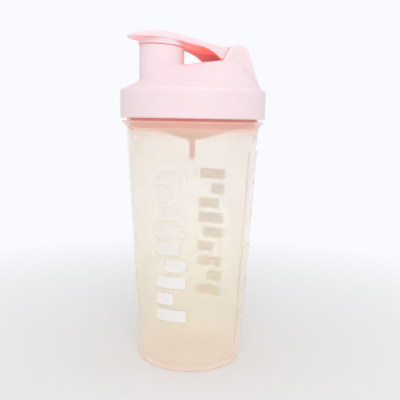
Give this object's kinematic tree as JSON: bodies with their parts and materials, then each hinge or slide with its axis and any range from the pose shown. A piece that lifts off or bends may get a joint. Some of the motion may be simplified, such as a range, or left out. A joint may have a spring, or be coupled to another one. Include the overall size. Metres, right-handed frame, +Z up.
{
  "type": "protein shaker bottle",
  "caption": "Tapered translucent shaker cup with screw lid, snap-shut flip cap over a drinking spout, sealing ring and conical mixing strainer.",
  "frame": {"origin": "centre of the foot on the cup's axis, on the surface it stands on", "axes": "+Z up along the cup's axis; the drinking spout is towards -X, the flip cap's hinge towards +X with its axis along Y"},
  "size_m": [0.0956, 0.0956, 0.2161],
  "materials": {
    "cup": "frosted translucent polypropylene, faint peach tint",
    "lid_gasket": "soft milky silicone",
    "screw_lid": "satin pale pink polypropylene",
    "flip_cap": "satin pale pink polypropylene",
    "strainer": "satin pale pink polypropylene"
  },
  "bodies": {
    "cup": {"cup": "cup"},
    "seal": {"lid_gasket": "lid_gasket"},
    "lid": {"screw_lid": "screw_lid"},
    "flip_cap": {"flip_cap": "flip_cap"},
    "strainer": {"strainer": "strainer"}
  },
  "joints": [
    {"name": "lid_rise", "type": "slide", "parent": "cup", "child": "seal", "axis": [0, 0, 1], "range_m": [0, 0.0076]},
    {"name": "lid_turn", "type": "hinge", "parent": "seal", "child": "lid", "pos_m": [0, 0, 0], "axis": [0, 0, 1], "range_deg": [0, 450]},
    {"name": "flip_cap_open", "type": "hinge", "parent": "lid", "child": "flip_cap", "pos_m": [0.0225, 0, 0.2024], "axis": [0, 1, 0], "range_deg": [0, 120]},
    {"name": "strainer_pull", "type": "slide", "parent": "lid", "child": "strainer", "axis": [0, 0, -1], "range_m": [0, 0.009]}
  ],
  "couplings": [
    {"joint": "lid_rise", "follows": "lid_turn", "m_per_rad": 0.00095493}
  ]
}
